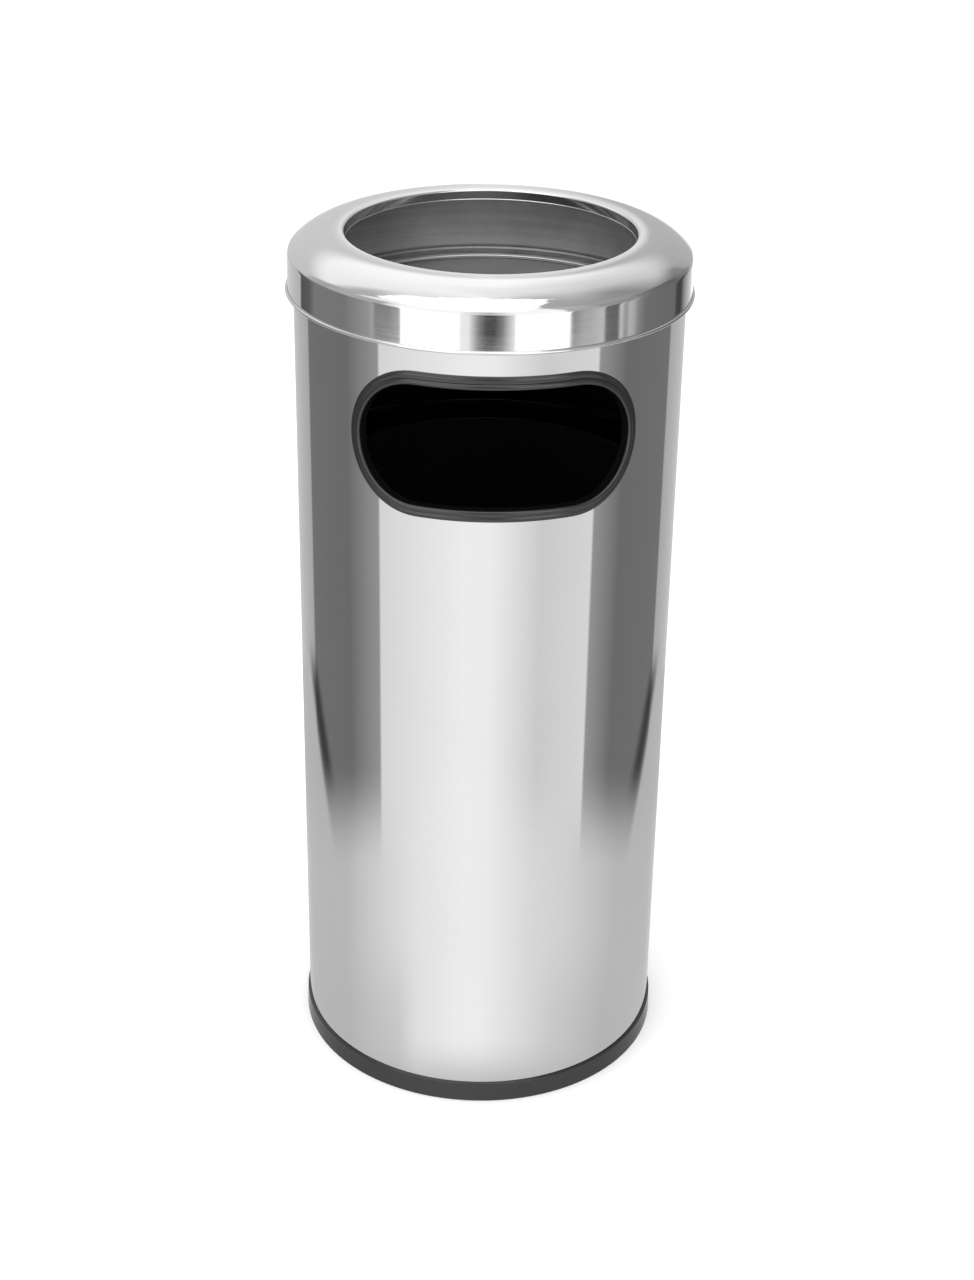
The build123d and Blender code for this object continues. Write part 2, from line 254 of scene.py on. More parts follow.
def loft_closed(name, rows):
    """Closed skin over rows of points; every row and the list of rows are loops."""
    count, width = len(rows), len(rows[0])
    verts = [p for row in rows for p in row]
    faces = []
    for i in range(count):
        for j in range(width):
            a, b = i * width + j, i * width + (j + 1) % width
            c, d = (i + 1) % count * width + (j + 1) % width, (i + 1) % count * width + j
            faces.append([a, b, c, d])
    return mesh_object(name, verts, faces)


def outward(obj, sharp=35.0):
    """Point the faces outwards and keep edges sharper than the angle crisp."""
    bm = bmesh.new()
    bm.from_mesh(obj.data)
    bmesh.ops.recalc_face_normals(bm, faces=bm.faces)
    bm.to_mesh(obj.data)
    bm.free()
    obj.data.set_sharp_from_angle(angle=math.radians(sharp))
    return obj


def rounded(section, steps=7):
    """Round the corners of a closed outline of (x, y, corner size) points."""
    result = []
    for i, (x, y, size) in enumerate(section):
        here = Vector((x, y))
        before, after = Vector(section[i - 1][:2]), Vector(section[(i + 1) % len(section)][:2])
        if size == 0:
            result.append(here)
            continue
        a, b = (before - here).normalized(), (after - here).normalized()
        for k in range(steps + 1):
            t = k / steps
            start, end = here + a * size, here + b * size
            result.append((1 - t) ** 2 * start + 2 * t * (1 - t) * here + t ** 2 * end)
    return result


def aperture_trim():
    """Moulded trim: thin flange, a groove, a rounded lip and a collar through the shell."""
    profile = rounded(TRIM_SECTION)
    rows = []
    for out, height in profile:
        radius = BODY_R + height * MM
        rows.append([laid_on(radius, point.x, point.y) for point, _ in oblong(out * MM)])
    trim = loft_closed("aperture_trim_moulding", rows)
    width = len(rows[0])
    for i, face in enumerate(trim.data.polygons):
        row = i // width
        furthest = max(profile[row].x, profile[(row + 1) % len(profile)].x)
        # The collar's faces take the second material, which is painted shade inside the opening.
        face.material_index = 1 if furthest < COLLAR_FACE else 0
    return outward(trim)


# ---------------------------------------------------------------- body shell

def cutter_prism():
    """Block with the outline of the hole in the sheet, reaching out to the front."""
    front, back = -2 * BODY_R, -BODY_R / 3
    outline = [laid_on(BODY_R, p.x, p.y) for p, _ in oblong(CUT_MARGIN)]
    count = len(outline)
    verts = [(p.x, front, p.z) for p in outline] + [(p.x, back, p.z) for p in outline]
    faces = [[i, (i + 1) % count, count + (i + 1) % count, count + i] for i in range(count)]
    faces += [list(range(count)), list(range(count, 2 * count))]
    return outward(mesh_object("cut_out", verts, faces))


def cutter_groove():
    """Thin bar that cuts the fine groove of the welded joint down the back."""
    half, depth = 0.4 * MM, 0.2 * MM
    low, high = body_low.z - MM, body_high.z + MM
    near, far = BODY_R - depth, BODY_R + depth
    verts = [(x, y, z) for z in (low, high) for y in (near, far) for x in (-half, half)]
    faces = [[0, 1, 3, 2], [4, 6, 7, 5], [0, 4, 5, 1], [2, 3, 7, 6], [0, 2, 6, 4], [1, 5, 7, 3]]
    return outward(mesh_object("seam_cut", verts, faces))


def cut(obj, cutter):
    """Subtract the cutter and remove it."""
    boolean = obj.modifiers.new("cut", "BOOLEAN")
    boolean.operation = "DIFFERENCE"
    boolean.solver = "EXACT"
    boolean.object = cutter
    depsgraph = bpy.context.evaluated_depsgraph_get()
    result = bpy.data.meshes.new_from_object(obj.evaluated_get(depsgraph))
    obj.modifiers.clear()
    obj.data = result
    bpy.data.objects.remove(cutter)


def cylinder_normals(obj):
    """True cylinder normals on the tube's two faces, flat ones on its cut edges."""
    mesh = obj.data
    normals = []
    for face in mesh.polygons:
        radial = Vector((face.center.x, face.center.y, 0)).normalized()
        side = face.normal.dot(radial)
        for vertex in face.vertices:
            co = mesh.vertices[vertex].co
            if abs(side) > 0.98:
                n = Vector((co.x, co.y, 0)).normalized() * math.copysign(1, side)
            else:
                n = face.normal
            normals.append(tuple(n))
    mesh.polygons.foreach_set("use_smooth", [True] * len(mesh.polygons))
    mesh.normals_split_custom_set(normals)


def body_shell():
    """Rolled tube with the aperture cut out and the seam at the back."""
    inner, foot, top = BODY_R - SHEET, body_low.z, body_high.z
    levels = 24
    heights = [foot + (top - foot) * i / levels for i in range(levels + 1)]
    outer_wall = [(Vector((BODY_R, z)), Vector((1, 0))) for z in heights]
    inner_wall = [(Vector((inner, z)), Vector((-1, 0))) for z in reversed(heights)]
    rims = [
        [(Vector((r, z)), Vector((0, side))) for r in radii]
        for z, side, radii in ((foot, -1, (inner, BODY_R)), (top, 1, (BODY_R, inner)))
    ]
    shell = lathe("shell_tube", [outer_wall, inner_wall, *rims])
    cut(shell, cutter_prism())
    cut(shell, cutter_groove())
    cylinder_normals(shell)
    return shell


# ---------------------------------------------------------------- lid and pan

def lid_ring():
    """Spun lid ring, from the rolled bead up over the crown and down into the hole."""
    low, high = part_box("lid_ring")
    half = SHEET / 2
    draft, slope = math.radians(LID_DRAFT), math.radians(LID_SLOPE)
    skirt_r = LID_SKIRT_R - half
    bead_bend = ((high.x - low.x) / 2 - half - skirt_r) / 2
    bead_z = low.z + bead_bend + half
    shoulder_bend, crown_bend = LID_SHOULDER_BEND - half, LID_CROWN_BEND - half
    shoulder_rise = LID_SHOULDER_BEND * (math.cos(slope) - math.sin(draft))
    rise = high.z - LID_CROWN_BEND * (1 - math.cos(slope)) - shoulder_rise - bead_z
    shoulder_r = skirt_r - rise * math.tan(draft) - shoulder_bend * math.cos(draft)
    peak_r = shoulder_r - (crown_bend - shoulder_bend) * math.sin(slope)
    inward = (peak_r - LID_HOLE_R - LID_HOLE_BEND) / (LID_CROWN_BEND - LID_HOLE_BEND)
    past_peak = math.degrees(math.asin(inward))
    moves = [
        (rise / math.cos(draft),),
        (shoulder_bend, 90 - LID_SLOPE - LID_DRAFT),
        (crown_bend, LID_SLOPE + past_peak),
        (LID_HOLE_BEND - half, 90 - past_peak),
        (LID_LIP,),
        (LID_LIP_BEND, -LID_LIP_TURN),
    ]
    line, line_n = walk((skirt_r, bead_z), 90 + LID_DRAFT, moves)
    bead, bead_n = walk((skirt_r, bead_z), 270 + LID_DRAFT, [(bead_bend, BEAD_TURN)])
    points = list(reversed(bead[1:])) + line
    normals = [-n for n in reversed(bead_n[1:])] + line_n
    return lathe("lid_ring_spun", sheet_chains(points, normals, SHEET))


def ash_pan():
    """Drawn pan: hooked rim, straight wall, narrow ledge, shallow step and flat floor."""
    low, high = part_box("ash_pan")
    half = SHEET / 2
    hook_r, top_z, floor_z = (high.x - low.x) / 2 - half, high.z - half, low.z + half
    hook_z = high.z - SHEET - PAN_HOOK_DROP
    wall_r, ledge_z = PAN_WALL_R + half, PAN_LEDGE_Z - half
    turn = math.degrees(math.acos(1 - (ledge_z - floor_z) / (2 * PAN_STEP_BEND)))
    step_half = PAN_STEP_BEND * math.sin(math.radians(turn))
    moves = [
        (top_z - PAN_RIM_BEND - hook_z,),
        (PAN_RIM_BEND, 90),
        (hook_r - wall_r - 2 * PAN_RIM_BEND,),
        (PAN_RIM_BEND, 90),
        (top_z - PAN_RIM_BEND - ledge_z - PAN_FOOT_BEND,),
        (PAN_FOOT_BEND, -90),
        (wall_r - PAN_FOOT_BEND - PAN_STEP_R - step_half,),
        (PAN_STEP_BEND, turn),
        (PAN_STEP_BEND, -turn),
        (PAN_STEP_R - step_half,),
    ]
    points, normals = walk((hook_r, hook_z), 90, moves)
    points[-1] = Vector((0, floor_z))
    return lathe("ash_pan_drawn", sheet_chains(points, normals, SHEET))


# ---------------------------------------------------------------- materials

def new_material(name):
    """A node material; returns it, its node tree and its Principled shader."""
    material = bpy.data.materials.new(name)
    material.use_nodes = True
    tree = material.node_tree
    shader = next(n for n in tree.nodes if n.type == "BSDF_PRINCIPLED")
    return material, tree, shader


def maths(tree, operation, *values):
    """A sum, product or other operation on numbers and node outputs."""
    node = tree.nodes.new("ShaderNodeMath")
    node.operation = operation
    for value, socket in zip(values, node.inputs):
        if isinstance(value, (int, float)):
            socket.default_value = value
        else:
            tree.links.new(value, socket)
    return node.outputs[0]


def vector_maths(tree, operation, *vectors):
    """The node for an operation on vectors."""
    node = tree.nodes.new("ShaderNodeVectorMath")
    node.operation = operation
    for vector, socket in zip(vectors, node.inputs):
        tree.links.new(vector, socket)
    return node


def separate(tree, vector):
    """The X, Y and Z outputs of a vector."""
    node = tree.nodes.new("ShaderNodeSeparateXYZ")
    tree.links.new(vector, node.inputs[0])
    return node.outputs


def join(tree, **parts):
    """A vector from its X, Y and Z; those not given are 0."""
    node = tree.nodes.new("ShaderNodeCombineXYZ")
    for name, value in parts.items():
        tree.links.new(value, node.inputs[name])
    return node.outputs[0]


def cylinder_vector(tree, around, outward_scale, along):
    """Object coordinates unrolled about Z: direction, and radius plus height, each scaled."""
    place = separate(tree, object_vector(tree))
    flat = join(tree, X=place["X"], Y=place["Y"])
    direction = vector_maths(tree, "NORMALIZE", flat).outputs[0]
    turned = vector_maths(tree, "SCALE", direction)
    turned.inputs["Scale"].default_value = around
    radius = vector_maths(tree, "LENGTH", flat).outputs["Value"]
    out = maths(tree, "MULTIPLY", radius, outward_scale)
    third = maths(tree, "MULTIPLY_ADD", place["Z"], along, out)
    return vector_maths(tree, "ADD", turned.outputs[0], join(tree, Z=third)).outputs[0]


def object_vector(tree):
    """Coordinates that stay with the piece."""
    return tree.nodes.new("ShaderNodeTexCoord").outputs["Object"]


def noise(tree, vector, scale, detail=3.0, roughness=0.55):
    """Fractal noise, from about 0.3 to 0.7."""
    node = tree.nodes.new("ShaderNodeTexNoise")
    node.inputs["Scale"].default_value = scale
    node.inputs["Detail"].default_value = detail
    node.inputs["Roughness"].default_value = roughness
    tree.links.new(vector, node.inputs["Vector"])
    return node.outputs["Fac"]


def remap(tree, value, low, high, from_low=0.3, from_high=0.7):
    """The value stretched from one range to another, and held at its ends."""
    node = tree.nodes.new("ShaderNodeMapRange")
    node.inputs["From Min"].default_value = from_low
    node.inputs["From Max"].default_value = from_high
    node.inputs["To Min"].default_value = low
    node.inputs["To Max"].default_value = high
    tree.links.new(value, node.inputs["Value"])
    return node.outputs["Result"]


def grey_from(tree, value):
    """A grey of the given brightness."""
    node = tree.nodes.new("ShaderNodeCombineColor")
    for channel in ("Red", "Green", "Blue"):
        tree.links.new(value, node.inputs[channel])
    return node.outputs["Color"]


def add_bump(tree, shader, value, strength, distance):
    """Relief from a value; the distance is its full height in metres."""
    node = tree.nodes.new("ShaderNodeBump")
    node.inputs["Strength"].default_value = strength
    node.inputs["Distance"].default_value = distance
    tree.links.new(value, node.inputs["Height"])
    tree.links.new(node.outputs["Normal"], shader.inputs["Normal"])


def polished_steel():
    """Bright rolled stainless: near mirror, with faint polishing lines and handling haze."""
    material, tree, shader = new_material("polished_steel")
    shader.inputs["Metallic"].default_value = 1.0
    lines = noise(tree, cylinder_vector(tree, 2.2, 60, 500), 1.0, 4)
    haze = noise(tree, object_vector(tree), 9.0, 5, 0.6)
    hazy = remap(tree, haze, STEEL_GREY - 0.01, STEEL_GREY + 0.01)
    tone = maths(tree, "ADD", remap(tree, lines, -0.006, 0.006), hazy)
    tree.links.new(grey_from(tree, tone), shader.inputs["Base Color"])
    dulled = remap(tree, haze, 0.02, 0.05, 0.42, 0.68)
    gloss = maths(tree, "ADD", dulled, remap(tree, lines, 0.0, 0.01))
    tree.links.new(gloss, shader.inputs["Roughness"])
    waves = noise(tree, cylinder_vector(tree, 1.2, 20, 7), 1.0, 2)
    add_bump(tree, shader, waves, 0.05, 0.0006)
    return material


def lid_steel():
    """The lid's stainless: the same metal with soft circular polishing marks."""
    material, tree, shader = new_material("lid_steel")
    shader.inputs["Metallic"].default_value = 1.0
    rings = noise(tree, cylinder_vector(tree, 1.6, 1500, 1500), 1.0, 4)
    haze = noise(tree, object_vector(tree), 14.0, 5, 0.6)
    hazy = remap(tree, haze, STEEL_GREY - 0.015, STEEL_GREY + 0.01)
    tone = maths(tree, "ADD", remap(tree, rings, -0.015, 0.015), hazy)
    tree.links.new(grey_from(tree, tone), shader.inputs["Base Color"])
    dulled = remap(tree, haze, 0.03, 0.09, 0.4, 0.7)
    gloss = maths(tree, "ADD", dulled, remap(tree, rings, 0.0, 0.03))
    tree.links.new(gloss, shader.inputs["Roughness"])
    add_bump(tree, shader, rings, 0.03, 0.00002)
    return material


def brushed_pan():
    """Pan steel: duller, with circular brushing and stains; painted light and shade up the wall,
    painted shade in the foot's fillet and painted shade that darkens the floor.
    """
    material, tree, shader = new_material("brushed_pan")
    shader.inputs["Metallic"].default_value = 1.0
    shader.inputs["Anisotropic"].default_value = 0.5
    brush = noise(tree, cylinder_vector(tree, 2.0, 2600, 2600), 1.0, 6, 0.7)
    bands = noise(tree, cylinder_vector(tree, 0.6, 260, 260), 1.0, 3)
    stain = noise(tree, object_vector(tree), 22.0, 6, 0.65)
    tone = maths(tree, "ADD", remap(tree, brush, -0.07, 0.07), remap(tree, stain, 0.54, 0.72))
    tone = maths(tree, "ADD", tone, remap(tree, bands, -0.05, 0.05))
    height = separate(tree, object_vector(tree))["Z"]
    # Painted light and shade by height: the wall is made lighter low down near the ledge and darker
    # higher up, under the lid's lip.
    wear_and_painted_shading = remap(tree, height, 1.20, 0.84, PAN_LEDGE_Z + 6 * MM, PAN_LEDGE_Z + 36 * MM)
    # Painted shade: a dark band in the fillet at the foot of the wall, 62% darker, which dims the
    # fillet's bright reflection.
    fillet_painted_shade = band(tree, height, PAN_LEDGE_Z + 0.6 * MM, PAN_LEDGE_Z + 4.5 * MM, 1.0 * MM)
    kept = maths(tree, "SUBTRACT", 1.0, maths(tree, "MULTIPLY", fillet_painted_shade, 0.62))
    # Painted shade: below the ledge the step and the floor are darkened to about a third.
    floor_painted_shade = remap(tree, height, 0.36, 1.0, PAN_LEDGE_Z - 2.0 * MM, PAN_LEDGE_Z - 0.6 * MM)
    kept = maths(tree, "MULTIPLY", kept, floor_painted_shade)
    tone = maths(tree, "MULTIPLY", maths(tree, "MULTIPLY", tone, wear_and_painted_shading), kept)
    tree.links.new(grey_from(tree, tone), shader.inputs["Base Color"])
    gloss = maths(tree, "ADD", remap(tree, brush, 0.0, 0.12), remap(tree, stain, 0.26, 0.36))
    tree.links.new(gloss, shader.inputs["Roughness"])
    add_bump(tree, shader, brush, 0.25, 0.00004)
    tangent = tree.nodes.new("ShaderNodeTangent")
    tangent.direction_type = "RADIAL"
    tangent.axis = "Z"
    tree.links.new(tangent.outputs[0], shader.inputs["Tangent"])
    return material


def plastic(name, tone, gloss, grain_scale, scuff, relief=0.12, shine=0.5):
    """Moulded plastic: fine grain, slightly uneven gloss and a few pale scuffs."""
    material, tree, shader = new_material(name)
    shader.inputs["IOR"].default_value = 1.5
    shader.inputs["Specular IOR Level"].default_value = shine
    grain = noise(tree, object_vector(tree), grain_scale, 4)
    patches = noise(tree, object_vector(tree), 35.0, 5, 0.65)
    scratches = noise(tree, cylinder_vector(tree, 3.0, 400, 1400), 1.0, 3)
    wear_and_painted_shading = remap(tree, maths(tree, "MULTIPLY", patches, scratches), 0.0, scuff, 0.33, 0.5)
    shade = maths(tree, "ADD", remap(tree, grain, tone * 0.85, tone * 1.15), wear_and_painted_shading)
    tree.links.new(grey_from(tree, shade), shader.inputs["Base Color"])
    tree.links.new(remap(tree, patches, gloss - 0.05, gloss + 0.07), shader.inputs["Roughness"])
    add_bump(tree, shader, grain, relief, 0.00005)
    return material


def black_enamel():
    """Black powder coat with a fine orange-peel skin."""
    material, tree, shader = new_material("black_enamel")
    peel = noise(tree, object_vector(tree), 900.0, 2)
    dust = noise(tree, object_vector(tree), 18.0, 6, 0.7)
    tree.links.new(grey_from(tree, remap(tree, dust, 0.012, 0.018)), shader.inputs["Base Color"])
    tree.links.new(remap(tree, dust, 0.5, 0.65), shader.inputs["Roughness"])
    shader.inputs["Specular IOR Level"].default_value = 0.04
    add_bump(tree, shader, peel, 0.15, 0.00006)
    return material


def plated(name, tone, gloss):
    """Zinc-plated or plain plated steel: dull metal with a faint crystalline mottle."""
    material, tree, shader = new_material(name)
    shader.inputs["Metallic"].default_value = 1.0
    cells = tree.nodes.new("ShaderNodeTexVoronoi")
    cells.inputs["Scale"].default_value = 160.0
    tree.links.new(object_vector(tree), cells.inputs["Vector"])
    mottle = noise(tree, object_vector(tree), 60.0, 5)
    flakes = remap(tree, cells.outputs["Distance"], tone - 0.05, tone + 0.05, 0.0, 1.0)
    shade = maths(tree, "ADD", flakes, remap(tree, mottle, -0.04, 0.04))
    tree.links.new(grey_from(tree, shade), shader.inputs["Base Color"])
    tree.links.new(remap(tree, mottle, gloss - 0.06, gloss + 0.08), shader.inputs["Roughness"])
    add_bump(tree, shader, mottle, 0.1, 0.00005)
    return material


def pad_rubber():
    """Soft black rubber with a dusty, grained face."""
    material, tree, shader = new_material("pad_rubber")
    grain = noise(tree, object_vector(tree), 1400.0, 3)
    tree.links.new(grey_from(tree, remap(tree, grain, 0.015, 0.03)), shader.inputs["Base Color"])
    tree.links.new(remap(tree, grain, 0.7, 0.9), shader.inputs["Roughness"])
    add_bump(tree, shader, grain, 0.3, 0.0001)
    return material


# ---------------------------------------------------------------- studio

def lin(level):
    """Linear light for a display brightness from 0 to 1."""
    return level / 12.92 if level <= 0.04045 else ((level + 0.055) / 1.055) ** 2.4


# Heights in the studio, in degrees above the horizon, where one ring of panels gives way
# to the next
FLOOR_TO_HORIZON = (-18.15, -17.65)
HORIZON_TO_DOME = (-11.0, 1.0)
LOW_TO_HIGH_DOME = (22.0, 36.0)
HIGH_TO_TOP_DOME = (50.0, 68.0)
FOOT_TO_FLOOR = (-32.8, -30.0)
NEAR_TO_FOOT = (-37.0, -34.2)
FOOT_LINE = (-42.0, -37.9)        # grey strip of floor close to the bin
FOOT_LINE_LEVEL = 0.665

# Pale side field of the floor. Its edge moves round with height, in degrees a degree
SIDE_EDGE_MOVE = 6.56
SIDE_EDGE_AT_HORIZON = 315.0
SIDE_LEVEL = 0.68
SIDE_TOP = (-27.6, -27.0)
SHADE_REACH = (-30.5, -27.4)      # heights of the dark shade along that edge
SHADE_LEVEL = 0.20

# White light overhead, as the part of the sky it covers: X and Y of the direction
SOFTBOX_ACROSS = (-0.60, 0.30)
SOFTBOX_AHEAD = (-1.2, 0.06)
SOFTBOX_UP = (0.45, 0.75)
SOFTBOX_LEVEL = 1.7

# Each panel of the studio: from, to (degrees round from the camera's side, to the right
# positive) and the display brightness of the steel that mirrors its two ends. First the
# floor, far, at the foot and near; then the walls; then the dome. The edges and levels were
# read off the reference picture's reflections, one direction after another, and rounded:
# this is a fitted studio, not a plain one. The notes say what a field looks like.
FLOOR_PANELS = [
    (-180, -132, 0.77, 0.64),
    (-132, -90, 0.43, 0.41),        # dark floor, left
    (-90, -66.5, 0.42, 0.57),
    (-66.5, -12, 0.83, 0.925),      # pale floor in front
    (-12, 4, 0.925, 0.92),
    (4, 34, 0.92, 0.79),
    (34, 66.5, 0.79, 0.83),
    (66.5, 88, 0.57, 0.41),         # dark floor, right
    (88, 132, 0.41, 0.43),
    (132, 180, 0.64, 0.77),
]
FOOT_PANELS = [
    (-180, -150, 0.77, 0.71),
    (-150, -95, 0.70, 0.715),
    (-95, -40, 0.72, 0.88),
    (-40, -8, 0.88, 0.925),
    (-8, 8, 0.925, 0.915),
    (8, 34, 0.915, 0.845),
    (34, 60, 0.845, 0.81),
    (60, 100, 0.81, 0.715),
    (100, 150, 0.71, 0.70),
    (150, 180, 0.71, 0.77),
]
NEAR_PANELS = [
    (-180, -150, 0.77, 0.71),
    (-150, -95, 0.70, 0.70),
    (-95, -57, 0.70, 0.77),
    (-57, -39, 0.78, 0.875),
    (-39, -13, 0.88, 0.925),
    (-13, 1, 0.925, 0.93),
    (1, 29, 0.925, 0.86),
    (29, 50, 0.86, 0.79),
    (50, 93, 0.79, 0.70),
    (93, 150, 0.70, 0.71),
    (150, 180, 0.71, 0.77),
]
HORIZON_PANELS = [
    (-180, -160, 0.81, 0.755),
    (-160, -133, 0.755, 0.68),
    (-133, -121, 0.31, 0.35),       # dark wall, far left
    (-121, -115, 0.36, 0.46),
    (-115, -87, 0.465, 0.455),
    (-87, -70, 0.47, 0.57),
    (-70, -67, 0.62, 0.62),
    (-67, -58, 0.47, 0.49),
    (-58, -49.6, 0.50, 0.62),
    (-49.6, -17, 1.25, 1.25),       # white wall light, left
    (-17, -11, 0.92, 0.91),
    (-11, -6, 0.84, 0.51),
    (-6, -1.5, 0.49, 0.28),
    (-1.5, 2.5, 0.255, 0.255),      # dark gap between the two lights
    (2.5, 7, 0.27, 0.46),
    (7, 15, 0.48, 0.92),
    (15, 45, 1.25, 1.25),           # white wall light, right
    (45, 55, 0.44, 0.64),
    (55, 67, 0.62, 0.73),
    (67, 77, 0.39, 0.37),
    (77, 80, 0.76, 0.72),           # narrow pale strips, right
    (80, 83, 0.56, 0.57),
    (83, 89, 0.72, 0.63),
    (89, 96, 0.54, 0.44),
    (96, 128, 0.42, 0.40),
    (128, 136, 0.27, 0.24),         # dark wall, far right
    (136, 141, 0.29, 0.50),
    (141, 157, 0.53, 0.80),
    (157, 163, 0.85, 0.97),
    (163, 180, 0.99, 0.99),         # white wall behind
]
LOW_DOME_PANELS = [
    (-180, -178, 0.87, 0.82),
    (-178, -174, 0.79, 0.77),
    (-174, -120, 0.765, 0.75),
    (-120, -100, 0.68, 0.62),
    (-100, -60, 0.66, 0.66),
    (-60, -50, 0.78, 0.97),
    (-50, -16, 0.98, 0.98),         # white, above the left light
    (-16, 0, 0.95, 0.72),
    (0, 14, 0.72, 0.95),
    (14, 42, 0.98, 0.98),           # white, above the right light
    (42, 62, 0.66, 0.64),
    (62, 90, 0.58, 0.54),
    (90, 105, 0.48, 0.41),
    (105, 125, 0.41, 0.375),
    (125, 143, 0.40, 0.53),
    (143, 150, 0.62, 0.66),
    (150, 175, 0.665, 0.685),
    (175, 178, 0.70, 0.78),
    (178, 180, 0.83, 0.86),
]
HIGH_DOME_PANELS = [
    (-180, -150, 0.985, 0.955),
    (-150, -120, 0.96, 0.92),
    (-120, -108, 0.91, 0.72),
    (-108, -85, 0.68, 0.66),
    (-85, -60, 0.90, 0.95),
    (-60, 40, 0.97, 0.97),
    (40, 60, 0.68, 0.67),
    (60, 90, 0.61, 0.60),
    (90, 112, 0.59, 0.55),
    (112, 122, 0.54, 0.60),
    (122, 140, 0.64, 0.78),
    (140, 160, 0.79, 0.85),
    (160, 180, 0.86, 0.985),
]
TOP_DOME_PANELS = [
    (-180, -150, 0.915, 0.96),
    (-150, -120, 0.96, 0.92),
    (-120, -95, 0.90, 0.88),
    (-95, 40, 1.0, 1.0),            # white ceiling, left and front
    (40, 90, 0.64, 0.64),
    (90, 115, 0.66, 0.72),
    (115, 150, 0.74, 0.86),
    (150, 180, 0.88, 0.915),
]


def panel_ramp(tree, position, panels, edge=0.6):
    """Colour ramp round the horizon, with each panel's edges a little soft."""
    if len(panels) > 16:
        to_right = maths(tree, "GREATER_THAN", position, 0.5)
        left = panel_ramp(tree, position, [p for p in panels if p[1] <= 0], edge)
        right = panel_ramp(tree, position, [p for p in panels if p[0] >= 0], edge)
        return mix(tree, to_right, left, right)
    ramp = tree.nodes.new("ShaderNodeValToRGB")
    stops = []
    for start, end, first, last in panels:
        stops.append((start + edge / 2, first))
        stops.append((end - edge / 2, last))
    merged = [stops[0]]
    for at, level in stops[1:]:
        if at - merged[-1][0] < 2 * edge and abs(level - merged[-1][1]) < 0.006:
            continue
        merged.append((at, level))
    elements = ramp.color_ramp.elements
    while len(elements) < len(merged):
        elements.new(0.5)
    for element, (at, level) in zip(elements, merged):
        element.position = (at + 180) / 360
        value = lin(level) / STEEL_GREY
        element.color = (value, value, value, 1)
    tree.links.new(position, ramp.inputs["Fac"])
    return ramp.outputs["Color"]


def step_between(tree, value, low, high):
    """0 below low, 1 above high, smooth between."""
    node = tree.nodes.new("ShaderNodeMapRange")
    node.interpolation_type = "SMOOTHSTEP"
    node.inputs["From Min"].default_value = low
    node.inputs["From Max"].default_value = high
    tree.links.new(value, node.inputs["Value"])
    return node.outputs["Result"]


def mix(tree, factor, a, b):
    """Colour a where the factor is 0, b where it is 1. Either may be a plain level."""
    node = tree.nodes.new("ShaderNodeMix")
    node.data_type = "RGBA"
    node.clamp_result = False
    tree.links.new(factor, node.inputs["Factor"])
    for value, name in ((a, 6), (b, 7)):
        if isinstance(value, (int, float)):
            node.inputs[name].default_value = (value, value, value, 1)
        else:
            tree.links.new(value, node.inputs[name])
    return node.outputs[2]


def band(tree, value, low, high, soft):
    """1 between low and high, 0 outside, with soft edges."""
    rise = step_between(tree, value, low - soft, low + soft)
    fall = step_between(tree, value, high - soft, high + soft)
    return maths(tree, "SUBTRACT", rise, fall)


def floor_reflection(tree, azimuth, position, height):
    """What the shell mirrors: the studio floor's light and dark fields."""
    floor = panel_ramp(tree, position, FLOOR_PANELS)
    foot = panel_ramp(tree, position, FOOT_PANELS, 4.0)
    near = panel_ramp(tree, position, NEAR_PANELS, 4.0)
    side = maths(tree, "ABSOLUTE", maths(tree, "DEGREES", azimuth))
    moved = maths(tree, "MULTIPLY", height, SIDE_EDGE_MOVE)
    edge = maths(tree, "ADD", moved, SIDE_EDGE_AT_HORIZON)
    beyond = maths(tree, "SUBTRACT", side, edge)
    lower = maths(tree, "SUBTRACT", 1.0, step_between(tree, height, *SIDE_TOP))
    outside = maths(tree, "MULTIPLY", step_between(tree, beyond, 4, 10), lower)
    floor = mix(tree, outside, floor, lin(SIDE_LEVEL) / STEEL_GREY)
    along_edge = band(tree, beyond, -5, 5, 4)
    shade = maths(tree, "MULTIPLY", along_edge, band(tree, height, *SHADE_REACH, 0.8))
    floor = mix(tree, maths(tree, "MULTIPLY", shade, 0.9), floor, lin(SHADE_LEVEL) / STEEL_GREY)
    low = mix(tree, step_between(tree, height, *FOOT_TO_FLOOR), foot, floor)
    low = mix(tree, step_between(tree, height, *NEAR_TO_FOOT), near, low)
    foot_line = band(tree, height, *FOOT_LINE, 0.9)
    return mix(tree, foot_line, low, lin(FOOT_LINE_LEVEL) / STEEL_GREY)


def dome_reflection(tree, direction, position, height):
    """What the lid's crown mirrors: pale walls, and a big white light above and in front."""
    low = panel_ramp(tree, position, LOW_DOME_PANELS, 1.5)
    high = panel_ramp(tree, position, HIGH_DOME_PANELS, 4.0)
    top = panel_ramp(tree, position, TOP_DOME_PANELS, 6.0)
    dome = mix(tree, step_between(tree, height, *LOW_TO_HIGH_DOME), low, high)
    dome = mix(tree, step_between(tree, height, *HIGH_TO_TOP_DOME), dome, top)
    towards = separate(tree, direction)
    wander = remap(tree, noise(tree, direction, 14.0, 4.0, 0.5), -0.035, 0.035)
    x, y = (maths(tree, "ADD", towards[axis], wander) for axis in ("X", "Y"))
    across = band(tree, x, *SOFTBOX_ACROSS, 0.012)
    ahead = band(tree, y, *SOFTBOX_AHEAD, 0.015)
    up = step_between(tree, towards["Z"], *SOFTBOX_UP)
    softbox = maths(tree, "MULTIPLY", maths(tree, "MULTIPLY", across, ahead), up)
    return mix(tree, softbox, dome, SOFTBOX_LEVEL)


